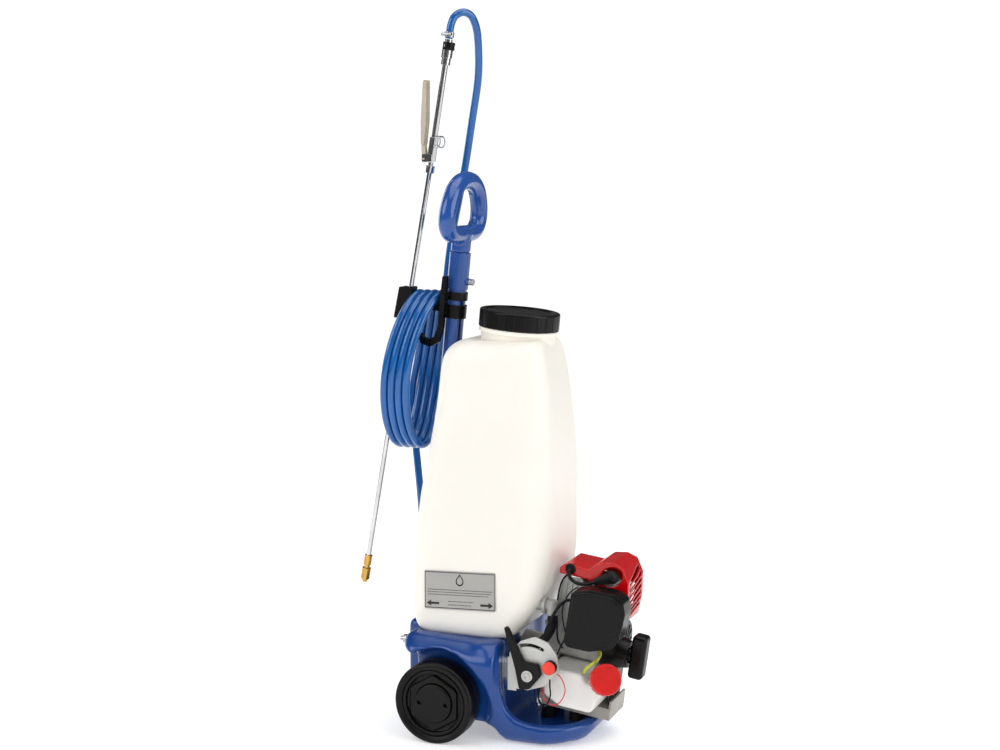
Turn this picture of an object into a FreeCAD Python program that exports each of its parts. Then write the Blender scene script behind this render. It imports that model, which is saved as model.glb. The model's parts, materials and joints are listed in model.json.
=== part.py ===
import FreeCAD, Part
import math
import os

# Wheeled engine sprayer: a blue moulded base on two wheels carries a spray tank, a
# telescopic pull handle and a small two-stroke engine that drives a spray pump.
# Millimetres. Parts are drawn with the axle above x = 0 and the ground at z = 0;
# +X is forward (engine end), +Z is up, and the wheels turn about Y.
# save() moves every part back by FOOTPRINT_X, so the row's origin is the middle of
# the object's footprint on the ground.

V = FreeCAD.Vector

FOOTPRINT_X = 63.0

# Wheels and axle.
WHEEL_R = 70.0
AXLE_Z = 70.0
AXLE_R = 5.0
RUN_GAP = 0.05
RIM_R = 56.0
WHEEL_OUT = 160.0
WHEEL_IN = 118.0

# Base.
BASE_HALF = 150.0
POCKET_R = 88.0
POCKET_IN = 112.0
TRAY_Z = 26.0
WALL_X = 103.0

# Spray tank.
TANK_WALL = 3.0
TANK_GAP = 0.6
NECK_X = 94.0
NECK_R = 63.5
CAP_R = 68.5
OUTLET_R = 9.0
OUTLET_Y = -62.0
OUTLET_Z = 231.0
CAP_TILT = 5.0
CAP_BASE_Z = 692.0

# Pull handle, leaning forward.
LEAN = 5.55
TUBE_FOOT = V(-84.6, 0, 80.0)
TUBE_R = 16.5
INNER_R = 14.0
OUTER_LEN = 738.0
KNOB_S = 692.0
GRIP_S = 817.0
LOOP_Y = 71.0
LOOP_H = 45.0
LOOP_R = 15.0

# Lance and gun.
LANCE_Y = -6.0
LANCE_TIP = V(-196, LANCE_Y, 233)
LANCE_TOP = V(-66, LANCE_Y, 960)
GUN_TOP = V(-35, LANCE_Y, 1149)
LANCE_R = 4.5

# Hose.
HOSE_R = 6.5
HOSE_BORE_R = 4.0
HOSE_SPANS = 130
COIL_TURNS = 4
COIL_TOP_Z = 746.0
COIL_LOW_Z = 480.0
COIL_HALF_Y = 75.0
COIL_PITCH = 13.7
GLAND = V(-51, 60, 128)

# Engine frame: tilted nose-down about Y, crank axis along its own x.
ENGINE_AT = V(160, 0, 190)
ENGINE_TILT = 8.0
CRANK_Z = -15.0
CRANK_R = 6.0
PUMP_SHAFT_R = 5.0
BORE_R = 17.0
PUMP_DROP = 40.0
GEAR_MODULE = 1.0
PINION_TEETH = 20
PUMP_TEETH = 60

X, Y, Z = V(1, 0, 0), V(0, 1, 0), V(0, 0, 1)


def box(x0, x1, y0, y1, z0, z1):
    return Part.makeBox(x1 - x0, y1 - y0, z1 - z0, V(x0, y0, z0))


def rod(start, end, radius):
    along = end - start
    return Part.makeCylinder(radius, along.Length, start, along)


def taper(start, end, r0, r1):
    along = end - start
    return Part.makeCone(r0, r1, along.Length, start, along)


def pipe(start, end, r_out, r_in):
    return rod(start, end, r_out).cut(rod(start, end, r_in))


def fuse(shapes):
    whole = shapes[0]
    for shape in shapes[1:]:
        whole = whole.fuse(shape)
    return whole.removeSplitter()


def both_sides(shape):
    return shape.mirror(V(0, 0, 0), Y)


def both_sides_point(point):
    return V(point.x, -point.y, point.z)


def rounded_outline(points, radius):
    """Closed wire through 3-D points in one plane, with its corners rounded."""
    count = len(points)
    arcs = []
    for i, here in enumerate(points):
        before, after = points[i - 1] - here, points[(i + 1) % count] - here
        angle = before.getAngle(after)
        reach = radius / math.tan(angle / 2)
        reach = min(reach, 0.48 * before.Length, 0.48 * after.Length)
        inward = (before.normalize() + after.normalize()).normalize()
        start, end = here + before * reach, here + after * reach
        real_r = reach * math.tan(angle / 2)
        middle = here + inward * (real_r / math.sin(angle / 2) - real_r)
        arcs.append((start, middle, end))
    edges = []
    for i, (start, middle, end) in enumerate(arcs):
        if abs((start - middle).cross(end - middle).Length) > 1e-6:
            edges.append(Part.Arc(start, middle, end).toShape())
        else:
            edges.append(Part.makeLine(start, end))
        following = arcs[(i + 1) % count][0]
        if (following - end).Length > 1e-6:
            edges.append(Part.makeLine(end, following))
    return Part.Wire(edges)


def side_slab(points, radius, y0, y1):
    """Outline in the XZ plane, extruded across the machine from y0 to y1."""
    wire = rounded_outline([V(x, y0, z) for x, z in points], radius)
    return Part.Face(wire).extrude(V(0, y1 - y0, 0))


def front_slab(points, radius, x0, x1):
    """Outline in the YZ plane, extruded along X."""
    wire = rounded_outline([V(x0, y, z) for y, z in points], radius)
    return Part.Face(wire).extrude(V(x1 - x0, 0, 0))


def plan_slab(points, radius, z0, z1):
    """Outline in the XY plane, extruded upwards."""
    wire = rounded_outline([V(x, y, z0) for x, y in points], radius)
    return Part.Face(wire).extrude(V(0, 0, z1 - z0))


def spline_rod(points, radius, bore=0.0, spans=16):
    """Round bar or tube along a smooth curve through the points."""
    curve = Part.BSplineCurve()
    curve.interpolate(points)
    first, last = curve.FirstParameter, curve.LastParameter
    places = [first + (last - first) * k / spans for k in range(spans + 1)]
    return swept([(curve.value(u), curve.tangent(u)[0]) for u in places], radius, bore)


def swept(stations, radius, bore=0.0):
    """Round bar or tube through (point, direction) stations, as a chain of true arcs."""
    at, ahead = stations[0]
    face = Part.Face(Part.Wire([Part.makeCircle(radius, at, ahead)]))
    if bore:
        face = face.cut(Part.Face(Part.Wire([Part.makeCircle(bore, at, ahead)]))).Faces[0]
    skin = [face]
    for end, onward in stations[1:]:
        for stop in (biarc_joint(at, ahead, end, onward), end):
            length, face, ahead = bent(face, at, ahead, stop)
            skin += [f for f in length.Faces if not isinstance(f.Surface, Part.Plane)]
            at = stop
    shell = Part.makeCompound(skin + [face])
    shell.sewShape(1e-4)
    return Part.Solid(shell.Shells[0])


def biarc_joint(start, ahead, end, onward):
    """Where two arcs meet that leave start along ahead and reach end along onward."""
    chord = end - start
    lean = chord.dot(ahead + onward)
    spread = 2 * (1 - ahead.dot(onward))
    reach = chord.Length / 4
    if spread > 1e-9:
        reach = (math.sqrt(lean * lean + spread * chord.dot(chord)) - lean) / spread
    return ((start + ahead * reach) + (end - onward * reach)) * 0.5


def bent(face, start, ahead, end):
    """Face swept round the arc that leaves start along ahead, its far copy, and the way on."""
    chord = end - start
    turn = ahead.cross(chord)
    far = face.copy()
    if turn.Length < 1e-4 * chord.Length:
        far.translate(chord)
        return face.extrude(chord), far, ahead
    radius = chord.dot(chord) / (2 * turn.Length)
    axis = turn.normalize()
    centre = start + axis.cross(ahead) * radius
    angle = 2 * ahead.getAngle(chord)
    far.rotate(centre, axis, math.degrees(angle))
    onward = ahead * math.cos(angle) + axis.cross(ahead) * math.sin(angle)
    return face.revolve(centre, axis, math.degrees(angle)), far, onward


def rounded(shape, radius, keep):
    """Fillet the edges whose middle point passes keep."""
    edges = [e for e in shape.Edges if keep(e.CenterOfMass)]
    return shape.makeFillet(radius, edges)


def engine(shape):
    """Put a part drawn in the engine's own frame into its place."""
    shape = shape.copy()
    shape.rotate(V(0, 0, 0), Y, ENGINE_TILT)
    shape.translate(ENGINE_AT)
    return shape


def up_tube(s, ahead=0.0, side=0.0):
    """Point s millimetres up the handle tube, and ahead of or beside its axis."""
    lean = math.radians(LEAN)
    along = V(math.sin(lean), 0, math.cos(lean))
    across = V(math.cos(lean), 0, -math.sin(lean))
    return TUBE_FOOT + along * s + across * ahead + Y * side


# ---------------------------------------------------------------- wheels and axle

def axle():
    return rod(V(0, -156, AXLE_Z), V(0, 156, AXLE_Z), AXLE_R)


def axle_retainers():
    ring = pipe(V(0, -153.5, AXLE_Z), V(0, -150.3, AXLE_Z), 9.5, AXLE_R)
    return Part.makeCompound([ring, both_sides(ring)])


def tyre():
    ring = pipe(V(0, -WHEEL_OUT, AXLE_Z), V(0, -WHEEL_IN, AXLE_Z), WHEEL_R, RIM_R)
    outer = [e for e in ring.Edges if abs(e.BoundBox.ZMax - AXLE_Z - WHEEL_R) < 0.1]
    circles = [e for e in outer if e.BoundBox.YLength < 1]
    return ring.makeFillet(4.5, circles)


def wheel_hub():
    centre = V(0, 0, AXLE_Z)
    rim = pipe(centre - Y * 158, centre - Y * 120, RIM_R, 50.0)
    web = rod(centre - Y * 151, centre - Y * 144, 50.5)
    boss = rod(centre - Y * 151, centre - Y * 113, 13.0)
    corners = [math.radians(60 * k + 30) for k in range(6)]
    hexagon = [V(48 * math.cos(a), -156, AXLE_Z + 48 * math.sin(a)) for a in corners]
    plateau = Part.Face(rounded_outline(hexagon, 8.0)).extrude(Y * 6)
    ribs = []
    for k in range(6):
        rib = box(12, 51, -145, -122, AXLE_Z - 1.5, AXLE_Z + 1.5)
        rib.rotate(centre, Y, 60 * k)
        ribs.append(rib)
    hub = fuse([rim, web, boss, plateau] + ribs)
    hub = hub.cut(rod(centre - Y * 157, centre - Y * 152, 33.0))
    hub = hub.cut(rod(centre - Y * 157, centre - Y * 149.8, 11.0))
    return hub.cut(rod(centre - Y * 160, centre - Y * 100, AXLE_R + RUN_GAP))


def hub_cap():
    centre = V(0, 0, AXLE_Z)
    disc = rod(centre - Y * 161, centre - Y * 152, 33.0)
    disc = rounded(disc, 3.0, lambda p: p.y < -160.5)
    disc = disc.cut(rod(centre - Y * 158.5, centre - Y * 151, 11.0))
    for side in (-24, 24):
        hole = rod(centre + V(side, -162, 0), centre + V(side, -156, 0), 4.0)
        disc = disc.cut(hole)
    return disc


# ---------------------------------------------------------------- base

def base_shell():
    side = [(-68, 148), (-68, 178), (-33, 178), (60, 173), (108, 178),
            (WALL_X + 1, 156), (WALL_X, 96), (110, 60), (130, 36), (160, 31), (248, 34),
            (248, 20), (228, 0), (108, 0), (92, 28), (-51, 28), (-51, 148)]
    across = [(-BASE_HALF, 150), (-118, 180), (118, 180), (BASE_HALF, 150),
              (BASE_HALF, 118), (124, 52), (118, 14), (104, 0), (-104, 0), (-118, 14),
              (-124, 52), (-BASE_HALF, 118)]
    plan = [(-70, -BASE_HALF), (120, -BASE_HALF), (200, -122), (248, -86), (248, 86),
            (200, 122), (120, BASE_HALF), (-70, BASE_HALF)]
    body = side_slab(side, 12.0, -BASE_HALF - 1, BASE_HALF + 1)
    body = body.common(front_slab(across, 24.0, -80, 260))
    body = body.common(plan_slab(plan, 40.0, -1, 200))
    socket = box(-106, -48, -24, 24, 58, 172)
    body = fuse([body, rounded(socket, 8.0, lambda p: p.x < -100)])
    body = body.cut(tank_loft(TANK_GAP))
    for pocket in wheel_pockets():
        body = body.cut(pocket)
    body = body.cut(engine_bay())
    for hollow in base_hollows():
        body = body.cut(hollow)
    boss = rod(V(0, -111, AXLE_Z), V(0, -90, AXLE_Z), 12.0)
    body = fuse([body, boss, both_sides(boss)])
    body = body.cut(rod(V(0, -120, AXLE_Z), V(0, 120, AXLE_Z), AXLE_R + RUN_GAP))
    body = body.cut(rod(up_tube(0), up_tube(300), TUBE_R + RUN_GAP))
    body = body.cut(rod(GLAND - X * 10, GLAND + X * 160, HOSE_R + 1.5))
    for hole in rear_bolt_axes():
        body = body.cut(rod(hole, hole + X * 40, 4.05))
    return body


def wheel_pockets():
    pocket = rod(V(0, -BASE_HALF - 20, AXLE_Z), V(0, -POCKET_IN, AXLE_Z), POCKET_R)
    return [pocket, both_sides(pocket)]


def engine_bay():
    """Deep floor behind the thick rim, which takes the engine and the pump."""
    floor = [(97, -94), (222, -94), (222, 94), (97, 94)]
    return plan_slab(floor, 18.0, TRAY_Z, 190)


def base_hollows():
    saddle = box(-46, 89, -103, 103, 20, 163)
    foot_left = box(118, 214, 12, 84, -1, 20)
    foot_right = box(118, 214, -84, -12, -1, 20)
    return [saddle, foot_left, foot_right]


def rear_bolt_axes():
    return [V(-80, -108, 162), V(-80, 108, 162)]


def rear_bolts():
    """Flanged bolts that hold the tank strap points at the base's rear lip."""
    bolts = []
    for tip in rear_bolt_axes():
        shank = rod(tip, tip + X * 30, 4.0)
        flange = rod(tip + X * 6, tip + X * 11.8, 7.5)
        bolts.append(fuse([shank, flange]))
    return Part.makeCompound(bolts)


# ---------------------------------------------------------------- tank

# Height, rear x, front x, half width and corner radius of each tank section.
TANK_SECTIONS = [
    (172, -50, 100, 88, 26), (180, -63, 117, 96, 30), (195, -69, 131, 99, 33),
    (225, -71, 152, 101, 36), (262, -70, 168, 102, 38), (320, -67, 177, 102, 40),
    (400, -60, 178, 100, 40), (480, -46, 178, 98, 42), (560, -33, 172, 93, 44),
    (610, -28, 166, 89, 44), (640, -23, 160, 87, 42), (658, -14, 156, 83, 40),
    (668, -2, 152, 76, 38), (674, 14, 146, 66, 34),
]


def tank_loft(offset):
    """Tank form, grown (or shrunk) by offset on every side."""
    top, bottom = TANK_SECTIONS[-1][0], TANK_SECTIONS[0][0]
    stretch = (top - bottom + 2 * offset) / (top - bottom)
    wires = []
    for z, rear, front, half, corner in TANK_SECTIONS:
        level = bottom - offset + (z - bottom) * stretch
        rear, front, half = rear - offset, front + offset, half + offset
        points = [V(rear, -half, level), V(front, -half, level),
                  V(front, half, level), V(rear, half, level)]
        wires.append(rounded_outline(points, corner))
    return Part.makeLoft(wires, True, False)


def tube_channel(clearance):
    """Upright channel down the tank's back that takes the handle tube."""
    return rod(up_tube(60), up_tube(640), TUBE_R + clearance)


def tilted(shape):
    """Lean the filler neck and its fittings forward."""
    shape = shape.copy()
    shape.rotate(V(NECK_X, 0, CAP_BASE_Z), Y, CAP_TILT)
    return shape


def neck(radius, z0, z1):
    return rod(V(NECK_X, 0, z0), V(NECK_X, 0, z1), radius)


def neck_ring(r_out, r_in, z0, z1):
    return neck(r_out, z0, z1).cut(neck(r_in, z0, z1))


def tank():
    outer = tank_loft(0).cut(tube_channel(1.5))
    outer = outer.fuse(tilted(neck(NECK_R, 655, CAP_BASE_Z + 16)))
    inside = tank_loft(-TANK_WALL).cut(tube_channel(1.5 + TANK_WALL))
    outer = outer.cut(inside).cut(tilted(neck(NECK_R - 4, 640, CAP_BASE_Z + 30)))
    collar = tilted(neck_ring(NECK_R + 4, NECK_R - 1, CAP_BASE_Z - 8, CAP_BASE_Z - 1))
    outer = outer.fuse(collar)
    return outer.cut(outlet_rod(OUTLET_R + 0.05, 120, 180))


def outlet_rod(radius, x0, x1):
    return rod(V(x0, OUTLET_Y, OUTLET_Z), V(x1, OUTLET_Y, OUTLET_Z), radius)


def tank_outlet():
    """Screwed outlet at the tank's front foot, with an elbow turned down."""
    elbow_x = 177
    top = V(elbow_x, OUTLET_Y, OUTLET_Z + 9)
    elbow = rod(top, top - Z * 24, 10.0)
    spigot = rod(top - Z * 20, top - Z * 36, 4.9)
    nut = outlet_rod(14.0, 162.6, 168)
    body = fuse([outlet_rod(OUTLET_R, 138, elbow_x), nut, elbow, spigot])
    body = body.cut(outlet_rod(3.5, 137, elbow_x))
    return body.cut(rod(top - Z * 9, top - Z * 41, 3.5))


def filler_cap():
    skirt = neck(CAP_R, CAP_BASE_Z, CAP_BASE_Z + 29)
    skirt = rounded(skirt, 3.0, lambda p: p.z > CAP_BASE_Z + 28)
    skirt = skirt.cut(neck(NECK_R + 0.4, CAP_BASE_Z - 1, CAP_BASE_Z + 22))
    skirt = skirt.cut(neck(CAP_R - 9, CAP_BASE_Z + 27, CAP_BASE_Z + 30))
    flute_x = NECK_X + CAP_R + 1.6
    for k in range(24):
        flute = rod(V(flute_x, 0, CAP_BASE_Z - 1), V(flute_x, 0, CAP_BASE_Z + 25), 2.6)
        flute.rotate(V(NECK_X, 0, 0), Z, 15 * k)
        skirt = skirt.cut(flute)
    return tilted(skirt)


def cap_seal():
    top = CAP_BASE_Z + 16.1
    return tilted(neck_ring(NECK_R - 0.5, NECK_R - 4, top, top + 2.9))


def strainer_basket():
    """Slotted cup that hangs in the neck."""
    r_out, r_in, rim = NECK_R - 8, NECK_R - 10, CAP_BASE_Z + 12
    cup = neck(r_out, rim - 96, rim).cut(neck(r_in, rim - 94, rim + 1))
    basket = fuse([cup, neck_ring(NECK_R - 4.2, r_in, rim - 2, rim + 1)])
    for level in range(3):
        for k in range(12):
            low = rim - 84 + 26 * level
            slot = box(NECK_X + r_in - 8, NECK_X + r_out + 6, -9, 9, low, low + 18)
            slot.rotate(V(NECK_X, 0, 0), Z, 30 * k + 15 * level)
            basket = basket.cut(slot)
    return tilted(basket)


def tank_label():
    """Thin metal plate on the flat of the tank's near side."""
    plate = [(-38, 217), (91, 222), (91, 288), (-38, 283)]
    return side_slab(plate, 3.0, -103.4, -102.6)


# ---------------------------------------------------------------- pull handle

def handle_outer_tube():
    return pipe(up_tube(0), up_tube(OUTER_LEN), TUBE_R, INNER_R + RUN_GAP).cut(
        rod(up_tube(KNOB_S, 0), up_tube(KNOB_S, 30), 3.1))


def tube_collar():
    """Thin sleeve round the tube's top that carries the clamp screw."""
    band = pipe(up_tube(OUTER_LEN - 60), up_tube(OUTER_LEN), 18.3, TUBE_R + RUN_GAP)
    stop = pipe(up_tube(OUTER_LEN), up_tube(OUTER_LEN + 2.5), 18.3, INNER_R + RUN_GAP)
    boss = rod(up_tube(KNOB_S, 15), up_tube(KNOB_S, 21.5), 6.0)
    collar = fuse([band, stop, boss]).cut(rod(up_tube(KNOB_S, 10), up_tube(KNOB_S, 30), 3.1))
    return collar.cut(rod(up_tube(KNOB_S - 30), up_tube(KNOB_S + 40), TUBE_R + RUN_GAP))


def lock_knob():
    """Clamp screw with a small finger head; its tip bears on the inner tube."""
    screw = rod(up_tube(KNOB_S, INNER_R + 0.2), up_tube(KNOB_S, 25), 3.0)
    head = rod(up_tube(KNOB_S, 22), up_tube(KNOB_S, 29), 5.5)
    wings = rod(up_tube(KNOB_S, 26.5, -9), up_tube(KNOB_S, 26.5, 9), 2.0)
    return fuse([screw, head, wings])


def handle_inner_tube():
    return pipe(up_tube(OUTER_LEN - 300), up_tube(GRIP_S - 57), INNER_R, INNER_R - 2)


def d_grip():
    """Closed hand loop standing across the machine, narrower at its top, on a socket."""
    rise = up_tube(1) - up_tube(0)
    inward = (rise * 3 - Y * 2.6).normalize()
    outward = (rise * -3 - Y * 2.6).normalize()
    left, right = up_tube(GRIP_S, 0, LOOP_Y), up_tube(GRIP_S, 0, -LOOP_Y)
    bend, shoulder = up_tube(GRIP_S - 12, 0, LOOP_Y), up_tube(GRIP_S + 26, 0, LOOP_Y - 14)
    floor = up_tube(GRIP_S - LOOP_H, 0, LOOP_Y - 33)
    crown = up_tube(GRIP_S + LOOP_H, 0, LOOP_Y - 50)
    upper = [(left, rise), (shoulder, inward), (crown, -Y), (both_sides_point(crown), -Y),
             (both_sides_point(shoulder), outward), (right, -rise)]
    lower = [(left, -rise), (bend, -rise), (floor, -Y), (both_sides_point(floor), -Y),
             (both_sides_point(bend), rise), (right, rise)]
    halves = [swept(upper, LOOP_R), swept(lower, LOOP_R)]
    seat = GRIP_S - 57
    socket = rod(up_tube(OUTER_LEN + 3), up_tube(seat + 14), INNER_R + 3)
    whole = fuse(halves + [socket])
    return whole.cut(rod(up_tube(OUTER_LEN), up_tube(seat), INNER_R))


def clear_of_tube(shape):
    return shape.cut(rod(up_tube(500), up_tube(OUTER_LEN), TUBE_R + RUN_GAP))


def hose_hook():
    """Moulded J-hook clipped round the tube, on the side of the hanging coil."""
    band = rod(up_tube(659), up_tube(673), 19.5)
    hook = [(-26, 778), (-33, 778), (-38, 737), (-42, 692), (-49, 674), (-60, 668),
            (-70, 672), (-75, 680), (-80, 676), (-74, 662), (-58, 656), (-42, 664),
            (-34, 690), (-29, 737)]
    lug = box(-40, -26, -26, -10, 740, 751)
    return clear_of_tube(fuse([band, lug, side_slab(hook, 2.0, -32, -19.7)]))


def lance_clip():
    """Arm under the coil's top, ending in a cup that the lance snaps into."""
    band = rod(up_tube(628), up_tube(651), 19.5)
    arm = [(-20, 712), (-20, 728), (-40, 736), (-104, 736), (-104, 722)]
    arm = side_slab(arm, 2.0, -7, 7)
    cup = side_slab([(-95.4, 757), (-120, 757), (-131, 703), (-102, 703)], 2.0, -18, 6)
    clip = clear_of_tube(fuse([band, arm, cup]))
    groove = LANCE_R + 0.1
    clip = clip.cut(rod(LANCE_TIP, LANCE_TOP, groove))
    mouth = side_slab([(-102, 790), (-130, 790), (-180, 690), (-118, 690)], 0.5,
                      LANCE_Y - 3.6, LANCE_Y + 3.6)
    return clip.cut(mouth)


# ---------------------------------------------------------------- hose, gun and lance

def coil_point(at):
    """Point on the hanging coil: at is the angle from its top, in turns."""
    angle = 2 * math.pi * at
    high = math.cos(angle)
    middle = (COIL_TOP_Z + COIL_LOW_Z) / 2
    reach = (COIL_TOP_Z - COIL_LOW_Z) / 2
    back = -97.5 + 21 * high + 15 * high * high
    return V(back - COIL_PITCH * (at - COIL_TURNS / 2), COIL_HALF_Y * math.sin(angle),
             middle + reach * high)


def hose_start():
    return GUN_TOP + along_gun() * 28


def hose_path():
    """From the gun over and down, round the coil, then down to the pump."""
    tail, u = hose_start(), along_gun()
    points = [tail, tail + u * 7, tail + u * 14, V(-20, 2, 1216), V(-7, 14, 1220.5),
              V(1, 28, 1209), V(2, 46, 1173), V(-4, 62, 1120), V(-18, 74, 1057),
              V(-38, 80, 954), V(-60, 80, 850), V(-74, 79, 740)]
    steps = 12
    for k in range(4, steps * COIL_TURNS + 4):
        points.append(coil_point(k / steps))
    return points + [V(-137, 74, 560), V(-130, 66, 490), V(-118, 56, 420),
                     V(-110, 52, 350), V(-108, 56, 260), V(-104, 60, 190),
                     V(-84, 60, 141), GLAND, GLAND + X * 60, GLAND + X * 120,
                     GLAND + X * 152]


def spray_hose():
    return spline_rod(hose_path(), HOSE_R, HOSE_BORE_R, HOSE_SPANS)


def hose_clamp():
    """Worm-drive band round the hose end."""
    along = along_gun()
    centre = hose_start() + along * 7
    band = pipe(centre - along * 4.5, centre + along * 4.5, HOSE_R + 1.7, HOSE_R + 0.7)
    screw = rod(centre + V(-10, -9.7, 0), centre + V(8, -9.7, 0), 2.7)
    return fuse([band, screw])


def along_gun():
    return (GUN_TOP - LANCE_TOP).normalize()


def gun_body():
    """Slim metal trigger gun: valve block low down, tube handle, hose tail."""
    u = along_gun()
    low = LANCE_TOP
    block = rod(low + u * 12, low + u * 52, 7.6)
    handle = rod(low + u * 50, GUN_TOP, 5.2)
    collar = rod(GUN_TOP - u * 16, GUN_TOP - u * 4, 8.5)
    hose_nut = rod(GUN_TOP - u * 4, GUN_TOP + u * 22, 10.0)
    tail = rod(GUN_TOP + u * 20, GUN_TOP + u * 27, 7.0)
    ear = side_slab([(-78, 971), (-60, 971), (-60, 984), (-78, 984)], 2.0,
                    LANCE_Y - 7.6, LANCE_Y + 7.6)
    body = fuse([block, handle, collar, hose_nut, tail, ear])
    gap = box(-80, -69.2, LANCE_Y - 4.6, LANCE_Y + 4.6, 960, 990)
    body = body.cut(gap).cut(rod(low, low + u * 300, 3.0))
    body = body.cut(rod(low, low + u * 24, LANCE_R + 0.01))
    for pin, radius in ((lever_pivot(), 1.55), (clasp_pivot(), 1.25)):
        body = body.cut(rod(pin - Y * 12, pin + Y * 12, radius))
    return body


def lever_pivot():
    return V(-74.5, LANCE_Y, 976)


def gun_lever():
    """Long squeeze lever, hinged low on the gun, with its pin."""
    outline = [(-79, 970), (-71, 970), (-73.5, 1000), (-68.5, 1040), (-67, 1108),
               (-76, 1109), (-79, 1060), (-80, 1000)]
    blade = side_slab(outline, 2.5, LANCE_Y - 4.5, LANCE_Y + 4.5)
    grip = [(-79.5, 1000), (-74, 1000), (-69.5, 1040), (-68.5, 1106), (-75, 1107),
            (-79.5, 1040)]
    wide = side_slab(grip, 2.5, LANCE_Y - 8, LANCE_Y + 8)
    pin = rod(lever_pivot() - Y * 10, lever_pivot() + Y * 10, 1.5)
    return fuse([blade, wide, pin])


def clasp_pivot():
    return V(-54.5, LANCE_Y, 998)


def lock_clasp():
    """Wire clasp on a cross pin that hooks over the lever to hold the valve open."""
    pin = clasp_pivot()
    path = [pin - Y * 9, pin + V(7, -10, -3), pin + V(12, -10, 6), pin + V(8, -9, 15)]
    limb = spline_rod(path, 1.2)
    other = limb.mirror(V(0, LANCE_Y, 0), Y)
    bridge = rod(pin + V(8, -10.5, 15), pin + V(8, 10.5, 15), 1.5)
    return fuse([limb, other, bridge, rod(pin - Y * 9.5, pin + Y * 9.5, 1.2)])


def lance_tube():
    u = (LANCE_TOP - LANCE_TIP).normalize()
    tube = rod(LANCE_TIP + u * 34, LANCE_TOP + u * 10, LANCE_R)
    nut = rod(LANCE_TOP - u * 8, LANCE_TOP + u * 4, 8.0)
    return fuse([tube, nut]).cut(rod(LANCE_TIP, LANCE_TOP + u * 20, 2.5))


def nozzle_body():
    u = (LANCE_TOP - LANCE_TIP).normalize()
    socket = rod(LANCE_TIP + u * 26, LANCE_TIP + u * 44, 7.0)
    socket = socket.cut(rod(LANCE_TIP + u * 34, LANCE_TIP + u * 45, LANCE_R))
    stem = rod(LANCE_TIP + u * 10, LANCE_TIP + u * 26, 5.0)
    return fuse([socket, stem]).cut(rod(LANCE_TIP, LANCE_TIP + u * 40, 1.5))


def nozzle_cap():
    u = (LANCE_TOP - LANCE_TIP).normalize()
    cap = rod(LANCE_TIP, LANCE_TIP + u * 20, 8.0)
    nose = taper(LANCE_TIP, LANCE_TIP - u * 6, 6.5, 4.0)
    cap = fuse([cap, nose])
    cap = cap.cut(rod(LANCE_TIP + u * 6, LANCE_TIP + u * 21, 5.0 + RUN_GAP))
    return cap.cut(rod(LANCE_TIP - u * 7, LANCE_TIP + u * 7, 1.0))


# ---------------------------------------------------------------- engine

def engine_rod(x0, x1, y, z, radius):
    """Bar parallel to the crankshaft, in the engine's own frame."""
    return rod(V(x0, y, z), V(x1, y, z), radius)


def gear(teeth, x0, x1, z, turn):
    """Spur gear about an axis parallel to the crankshaft."""
    pitch_r = GEAR_MODULE * teeth / 2
    root, tip = pitch_r - 1.2 * GEAR_MODULE, pitch_r + 0.85 * GEAR_MODULE
    step = 2 * math.pi / teeth
    points = []
    for k in range(teeth):
        middle = k * step + math.radians(turn)
        for part, radius in ((-0.34, root), (-0.12, tip), (0.12, tip), (0.34, root)):
            a = middle + part * step
            points.append(V(x0, radius * math.cos(a), z + radius * math.sin(a)))
    wire = Part.makePolygon(points + points[:1])
    return Part.Face(wire).extrude(V(x1 - x0, 0, 0))


def pump_z():
    return CRANK_Z - PUMP_DROP


def gear_case():
    outer = fuse([engine_rod(0, 22, 0, CRANK_Z, 46), engine_rod(0, 22, 0, pump_z(), 38),
                  box(0, 22, -39, 39, pump_z(), CRANK_Z), box(2, 20, -30, 30, -117, -80)])
    inner = fuse([engine_rod(4, 22, 0, CRANK_Z, 41), engine_rod(4, 22, 0, pump_z(), 33),
                  box(4, 22, -33, 33, pump_z(), CRANK_Z)])
    case = outer.cut(inner).cut(engine_rod(-1, 5, 0, pump_z(), 5.1))
    bosses = []
    for k in range(6):
        a = math.radians(60 * k + 30)
        boss = engine_rod(-3, 2, 40 * math.cos(a), CRANK_Z + 40 * math.sin(a), 4.5)
        bosses.append(boss)
    upper = [b for b in bosses if b.CenterOfMass.z > CRANK_Z - 30]
    return fuse([case] + upper)


def crankcase():
    body = box(22, 98, -36, 36, CRANK_Z - 31, CRANK_Z + 45)
    body = rounded(body, 8.0, lambda p: abs(p.x - 60) < 1)
    back = fuse([engine_rod(22, 26, 0, CRANK_Z, 46), engine_rod(22, 26, 0, pump_z(), 38),
                 box(22, 26, -39, 39, pump_z(), CRANK_Z)])
    body = fuse([body, back]).cut(engine_rod(32, 88, 0, CRANK_Z, 27))
    body = body.cut(engine_rod(20, 100, 0, CRANK_Z, CRANK_R + RUN_GAP))
    body = body.cut(engine_rod(21, 23, 0, pump_z(), 6))
    return body.cut(rod(V(70, 0, CRANK_Z), V(70, 0, 40), BORE_R))


def crankshaft():
    """Shaft with two webs, the crank pin and a pinion cut on its rear end."""
    shaft = fuse([engine_rod(16, 58, 0, CRANK_Z, CRANK_R),
                  engine_rod(82, 111, 0, CRANK_Z, CRANK_R)])
    webs = [engine_rod(56, 64, 0, CRANK_Z, 24), engine_rod(76, 84, 0, CRANK_Z, 24)]
    pin = engine_rod(63, 77, 0, CRANK_Z + 14, 5)
    pinion = gear(PINION_TEETH, 7, 17, CRANK_Z, 9.0)
    return fuse([shaft, pin, pinion] + webs)


def pump_shaft():
    wheel = gear(PUMP_TEETH, 7, 17, pump_z(), 0.0)
    return fuse([wheel, engine_rod(-30, 20, 0, pump_z(), PUMP_SHAFT_R)])


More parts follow.
